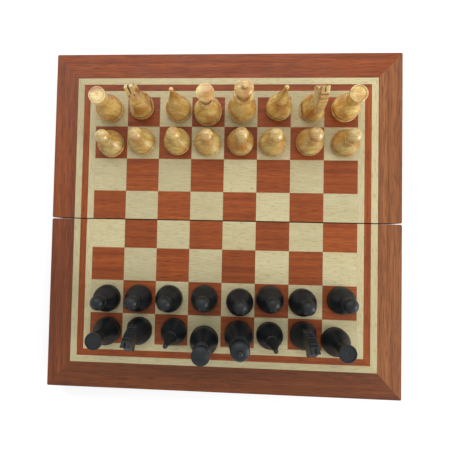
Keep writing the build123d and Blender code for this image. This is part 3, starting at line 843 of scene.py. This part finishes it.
turned_count = 0
for army in army_wood:
    for node in [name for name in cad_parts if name.startswith(f"{army}_")]:
        kind = node.split("_")[1]
        if kind not in sections:
            continue
        points, faces = spin(profiles[kind])
        piece = make_piece(f"turned_{node}", stand(points, node), faces)
        store_value(piece, "along", per_point(along_profile(profiles[kind])) * MM)
        # The painted shade of grooves and of the band above the foot.
        store_value(piece, "groove", per_point(grooves[kind]))
        hand_over(piece, node)
        turned_count += 1
print("turned men", turned_count)

# %% [markdown]
# A knight is half turned and half sawn. The bell is turned, then a flat is cut on each cheek side.
# A flat cut of a round bell is a simple rule: the radius may not reach past the plane of the cut.


# %% The knight's bell
HEAD_THICKNESS = 8.0
FACET_TOP = 24.0
FACET_SLOPE = 0.38
EDGE_SOFTNESS = 0.12
LEAST_SINE = 1e-3


def flat_cut(radius, height, angle):
    """The lesser of the turned radius and the way to the sloping plane, eased where the two meet."""
    plane = HEAD_THICKNESS / 2 + np.maximum(FACET_TOP - height, 0.0) * FACET_SLOPE
    reach = plane / np.maximum(np.abs(np.sin(angle)), LEAST_SINE)
    meet = np.clip(0.5 + (radius - reach) / (2 * EDGE_SOFTNESS), 0.0, 1.0)
    return radius + (reach - radius) * meet - EDGE_SOFTNESS * meet * (1.0 - meet)


def knight_bell():
    """Foot and bell of the knight, closed flat at the top, inside the head."""
    section = foot_and_bell(base=13.2, bell=21.0, neck=7.6)
    section.line(0.0, section.points[-1, 1], spacing=1.0)
    return section.points


bell_points, bell_faces = spin(knight_bell(), flat_cut)
print("knight bell", len(bell_points), "points")

# %% [markdown]
# The head is sawn from a board: one outline, carried across the thickness, with its edges eased by a file.
# Saw cuts make the mane and split the ears, so the outline dips at each mane cut,
# and the middle of the thickness is lower than the ears. The cheeks are flat, and one face closes each.


# %% The knight's outline
ROOT, NAPE, EAR_ROOT, EAR = 14.0, 33.0, 55.8, 59.8
FOREHEAD, NOSE, THROAT = 50.5, 39.6, 30.5
MANE_CUTS, MANE_START, MANE_END = 6, 0.34, 0.94
MANE_WIDTH, MANE_DEPTH, MANE_FLANK = 1.1, 1.3, 0.6
BROW_START, BROW_END = (3.3, FOREHEAD), (10.2, NOSE)
MOUTH = ((10.3, 2.08), (7.0, 2.3), (7.0, 2.75), (10.2, 2.98))


def crest_outline():
    """Root of the neck, nape and the back of the ears."""
    section = Section()
    section.points = np.array([[-9.6, ROOT]])
    section.flow(-9.9, NAPE, (-0.1, 1.0), (0.08, 1.0), spacing=0.25)
    section.flow(-2.2, EAR_ROOT, (0.08, 1.0), (0.9, 1.0), spacing=0.25)
    return section


def horse_outline():
    """Crest, ear, brow, muzzle with its mouth cut, jaw and chest, as reach forward and height, clockwise."""
    section = crest_outline()
    section.line(1.9, EAR, spacing=0.4)
    section.line(*BROW_START, spacing=0.4)
    section.flow(*BROW_END, (1.0, -1.0), (0.5, -1.0), spacing=0.25)
    for reach, below_nose in MOUTH:
        section.line(reach, NOSE - below_nose, spacing=0.5)
    section.arc((9.8, NOSE - 4.0), 9.0, NOSE - 4.8)
    section.flow(4.6, THROAT, (-1.0, 0.2), (-0.5, -1.0), spacing=0.4)
    section.flow(8.5, ROOT, (-0.1, -1.0), (0.5, -1.0), spacing=0.6)
    return section.points


def mane_dip(outline):
    """From 0 to 1: a rounded notch at each saw cut, at even steps of the length along the crest."""
    along = along_profile(outline)
    crest_length = along[len(crest_outline().points) - 1]
    centres = crest_length * np.linspace(MANE_START, MANE_END, MANE_CUTS)
    return np.exp(-(((along[:, None] - centres[None]) / (MANE_FLANK * MANE_WIDTH)) ** 4)).max(axis=1)


print("knight outline", len(horse_outline()), "points")

# %% [markdown]
# Across the thickness the grid keeps a row of depths: two at each wall of the ear slot, several on the brow,
# and a few round the filed edge. Two shallow eyes are drilled in the brow.
# A Boolean could cut them, but a dip in the grid keeps every face a clean quad.


# %% The knight's head
SLOT_WIDTH = 1.5
SLOT_REAR, SLOT_FRONT = (-2.2, EAR_ROOT), (3.95, 49.35)
FILE_ROUND, FILE_STEPS = 0.7, 5
MOUTH_ROUND, MUZZLE_LENGTH = 0.1, 4.0
MANE_SHADE = 0.6
BROW_STEPS = 14
EYE_RADIUS, EYE_DEPTH, EYE_SPREAD, EYE_SHARE = 0.9, 0.6, 2.25, 0.26


def eye_dip(outline, depth):
    """From 0 to 1: one inside a circle on each side of the brow, falling steeply to nothing at its rim."""
    along = along_profile(outline)
    start, end = (np.argmin(np.linalg.norm(outline - place, axis=1)) for place in (BROW_START, BROW_END))
    seat = along[start] + EYE_SHARE * (along[end] - along[start])
    away = np.hypot(along[:, None] - seat, np.abs(depth)[None] - EYE_SPREAD)
    return np.exp(-((away / EYE_RADIUS) ** 6))


def across_head():
    """Depths across the thickness, how far the file pulls each in, and which two are the slot's floor."""
    half, wall = HEAD_THICKNESS / 2, SLOT_WIDTH / 2
    turn = np.linspace(0.0, math.pi / 2, FILE_STEPS)
    brow = np.linspace(wall, half - FILE_ROUND, BROW_STEPS)[:-1]
    side = np.concatenate([[wall], brow, half + FILE_ROUND * (np.sin(turn) - 1.0)])
    pull = np.concatenate([np.zeros(BROW_STEPS), 1.0 - np.cos(turn)])
    floor_of_slot = np.arange(len(side)) == 0
    rows = ((side, -1), (pull, 1), (floor_of_slot, 1))
    return tuple(np.concatenate([sign * row[::-1], row]) for row, sign in rows)


def carve_head():
    """The outline at every depth, moved inwards by file, mane cuts and eyes, and lowered in the ear slot."""
    outline = horse_outline()
    depth, pull, split = across_head()
    slope = np.gradient(outline, axis=0)
    inward = np.stack([slope[:, 1], -slope[:, 0]], axis=-1)
    inward = inward / np.linalg.norm(inward, axis=1, keepdims=True)
    x, z = outline.T
    muzzle = (x > BROW_END[0] - MUZZLE_LENGTH) & (z < NOSE)
    filed = np.where(muzzle, MOUTH_ROUND, FILE_ROUND)
    mane, eyes = mane_dip(outline)[:, None], eye_dip(outline, depth)
    offset = MANE_DEPTH * mane + EYE_DEPTH * eyes + filed[:, None] * pull[None]
    reach = x[:, None] + inward[:, :1] * offset
    height = z[:, None] + inward[:, 1:] * offset
    slot_floor = np.interp(reach, *np.array([SLOT_REAR, SLOT_FRONT]).T)
    between = (reach > SLOT_REAR[0]) & (reach < SLOT_FRONT[0])
    cut = (split[None] > 0) & between & (height > slot_floor)
    height = np.where(cut, slot_floor, height)
    points = np.stack([reach, np.broadcast_to(depth, reach.shape), height], axis=-1)
    # Painted shade: full in the eyes and the ear slot, lighter in the mane cuts.
    dark = np.maximum(np.maximum(eyes, cut), MANE_SHADE * mane)
    return points.transpose(1, 0, 2), dark.T


head_grid, head_shade = carve_head()
print("knight head", head_grid.shape)

# %% [markdown]
# The knights were set down by hand, each facing its own way, so bell and head are turned before being placed.
# The turn could go on the object, but then its grain would slip when the model is exported.

# %% Set the knights
KNIGHT_TURNS = {
    "white_knight_1": -78.0,
    "white_knight_2": 95.5,
    "black_knight_1": -92.0,
    "black_knight_2": -86.0,
}


def knight_faces():
    """The bell's faces, the quads round the head, and one face for each cheek, counted on from the bell."""
    layers, around = head_grid.shape[:2]
    first = len(bell_points)
    quads = first + ring_faces(layers, around)
    cheek = first + np.arange(around)
    return bell_faces + quads.tolist() + [cheek[::-1].tolist(), (cheek + (layers - 1) * around).tolist()]


knight_points = np.concatenate([bell_points, head_grid.reshape(-1, 3)])
bell_profile = knight_bell()
knight_along = np.concatenate([per_point(along_profile(bell_profile)), head_grid[..., 2].ravel()])
# Painted shade of the bell's grooves and the head's eyes, slot and mane cuts.
knight_shade = np.concatenate([per_point(painted_shade(bell_profile)), head_shade.ravel()])
for node, degrees in KNIGHT_TURNS.items():
    turn = math.radians(degrees)
    cosine, sine = math.cos(turn), math.sin(turn)
    around = np.array([[cosine, sine, 0], [-sine, cosine, 0], [0, 0, 1]])
    piece = make_piece(f"carved_{node}", stand(knight_points @ around, node), knight_faces())
    store_value(piece, "along", knight_along * MM)
    store_value(piece, "groove", knight_shade)
    hand_over(piece, node)
print("carved knights", len(KNIGHT_TURNS))

# %% [markdown]
# The set lies on a plain pale floor. More light could make it white, but that would bleach the wood.
# Instead the floor itself looks white to the camera and to glossy surfaces, and still takes a shadow.
# Under the narrow gap of the fold it doesn't glow, so the fold stays the thin dark line that it is.
# Far from the set it glows more, and so it ends in the same white as the sky.


# %% Floor
FLOOR_SIZE = 3000.0
FLOOR_MATT, FLOOR_GLOW, FLOOR_PLAIN = 0.55, 0.63, 0.8
FOLD_STRIP = {"X": (160.0, 168.0), "Y": (3.0, 4.0)}
FAR_START, FAR_END, FAR_GLOW = 450.0, 1000.0, 0.4
WHITE = (1.0, 1.0, 1.0, 1.0)


def seen_directly(tree):
    """One for rays straight from the camera or off something shiny or clear, nought for stray light."""
    path = add(tree, "ShaderNodeLightPath").outputs
    shiny = sum_of(tree, "MAXIMUM", path["Is Camera Ray"], path["Is Glossy Ray"])
    return sum_of(tree, "MAXIMUM", shiny, path["Is Transmission Ray"])


def away_from_fold(tree):
    """Nought on the floor strip under the fold, one elsewhere: the greater of a ramp along and one across."""
    axes = add(tree, "ShaderNodeSeparateXYZ", {0: where(tree)}).outputs
    ramps = []
    for axis, (start, end) in FOLD_STRIP.items():
        ramps.append(stretch(tree, sum_of(tree, "ABSOLUTE", axes[axis]), start * MM, end * MM))
    return sum_of(tree, "MAXIMUM", *ramps)


def far_glow(tree):
    """Nought round the set and more with the distance from its middle."""
    away = add(tree, "ShaderNodeVectorMath", {0: where(tree)}, operation="LENGTH").outputs["Value"]
    return stretch(tree, away, FAR_START * MM, FAR_END * MM, 0.0, FAR_GLOW)


def matt(tree, level):
    """A matt grey of one level."""
    return add(tree, "ShaderNodeBsdfDiffuse", {"Color": (level, level, level, 1.0)}).outputs[0]


def build_floor():
    """A flat square far larger than the board, seen as matt white with its own glow except under the fold."""
    corners = np.array([[-1, -1, 0], [1, -1, 0], [1, 1, 0], [-1, 1, 0]]) * FLOOR_SIZE / 2
    floor = make_piece("floor", corners, [[0, 1, 2, 3]])
    material, tree, _ = new_material("pale_floor")
    tree.nodes.clear()
    near = stretch(tree, away_from_fold(tree), 0.0, 1.0, 0.0, FLOOR_GLOW)
    strength = sum_of(tree, "ADD", near, far_glow(tree))
    glow = add(tree, "ShaderNodeEmission", {"Color": WHITE, "Strength": strength}).outputs[0]
    seen = add(tree, "ShaderNodeAddShader", {0: matt(tree, FLOOR_MATT), 1: glow}).outputs[0]
    shares = {0: seen_directly(tree), 1: matt(tree, FLOOR_PLAIN), 2: seen}
    both = add(tree, "ShaderNodeMixShader", shares).outputs[0]
    add(tree, "ShaderNodeOutputMaterial", {"Surface": both})
    floor.data.materials.append(material)
    return floor


floor = build_floor()
print("floor", floor.name)

# %% [markdown]
# The light is soft daylight: a pale sky all round, a window on the right and a wider one on the far side.
# A small hard lamp would draw sharp shadows, which the board doesn't have.

# %% Light
SKY_TINT, SKY_LIGHT = (0.94, 0.97, 1.0, 1.0), 0.52
LIT_POINT = (0.0, 0.0, 0.03)


def build_sky():
    """Soft light of one strength all round, which looks plain white itself."""
    sky = bpy.data.worlds.new("soft_daylight")
    sky.use_nodes = True
    tree = sky.node_tree
    tree.nodes.clear()
    light = add(tree, "ShaderNodeBackground", {"Color": SKY_TINT, "Strength": SKY_LIGHT}).outputs[0]
    white = add(tree, "ShaderNodeBackground", {"Color": WHITE, "Strength": 1.0}).outputs[0]
    both = add(tree, "ShaderNodeMixShader", {0: seen_directly(tree), 1: light, 2: white}).outputs[0]
    add(tree, "ShaderNodeOutputWorld", {"Surface": both})
    return sky


def window(name, place, width, height, power):
    """A rectangular lamp turned to the lit point: its pitch and heading are the angles of the way there."""
    lamp = bpy.data.lights.new(name, "AREA")
    lamp.shape = "RECTANGLE"
    lamp.size, lamp.size_y = width, height
    lamp.energy = power
    holder = bpy.data.objects.new(name, lamp)
    bpy.context.collection.objects.link(holder)
    way = np.array(LIT_POINT) - np.array(place)
    pitch = math.acos(-way[2] / np.linalg.norm(way))
    heading = math.atan2(-way[0], way[1])
    holder.location = place
    holder.rotation_euler = (pitch, 0.0, heading)
    return holder


bpy.context.scene.world = build_sky()
lamps = [
    window("window_right", (0.95, -0.3, 0.4), width=0.6, height=0.7, power=7.0),
    window("window_far", (-0.1, 0.6, 0.7), width=1.1, height=0.6, power=4.2),
]
print("lamps", [lamp.name for lamp in lamps])

# %% [markdown]
# The photograph was taken by hand from above, a little off the middle and a little turned.
# The camera repeats that: its height and angles come from lines of the board, and its shift from the framing.

# %% Camera
IMAGE_SIZE = 452
FOCAL_PIXELS = 400.0
AXIS_PIXEL = (203.87, 222.43)
CAMERA_PLACE = (5.78, -15.45, 427.5)
CAMERA_ANGLES = (1.997, 3.476, 1.204)
SENSOR = 36.0

camera_data = bpy.data.cameras.new("camera")
camera_data.sensor_width = SENSOR
camera_data.lens = FOCAL_PIXELS / IMAGE_SIZE * SENSOR
camera_data.shift_x = (IMAGE_SIZE / 2 - AXIS_PIXEL[0]) / IMAGE_SIZE
camera_data.shift_y = (AXIS_PIXEL[1] - IMAGE_SIZE / 2) / IMAGE_SIZE
camera_data.clip_start = 0.01
camera = bpy.data.objects.new("camera", camera_data)
bpy.context.collection.objects.link(camera)
camera.location = tuple(value * MM for value in CAMERA_PLACE)
camera.rotation_euler = Euler([math.radians(angle) for angle in CAMERA_ANGLES], "XYZ")
bpy.context.scene.camera = camera
bpy.context.scene.view_settings.view_transform = "Standard"
print("camera", tuple(round(value, 3) for value in camera.location))
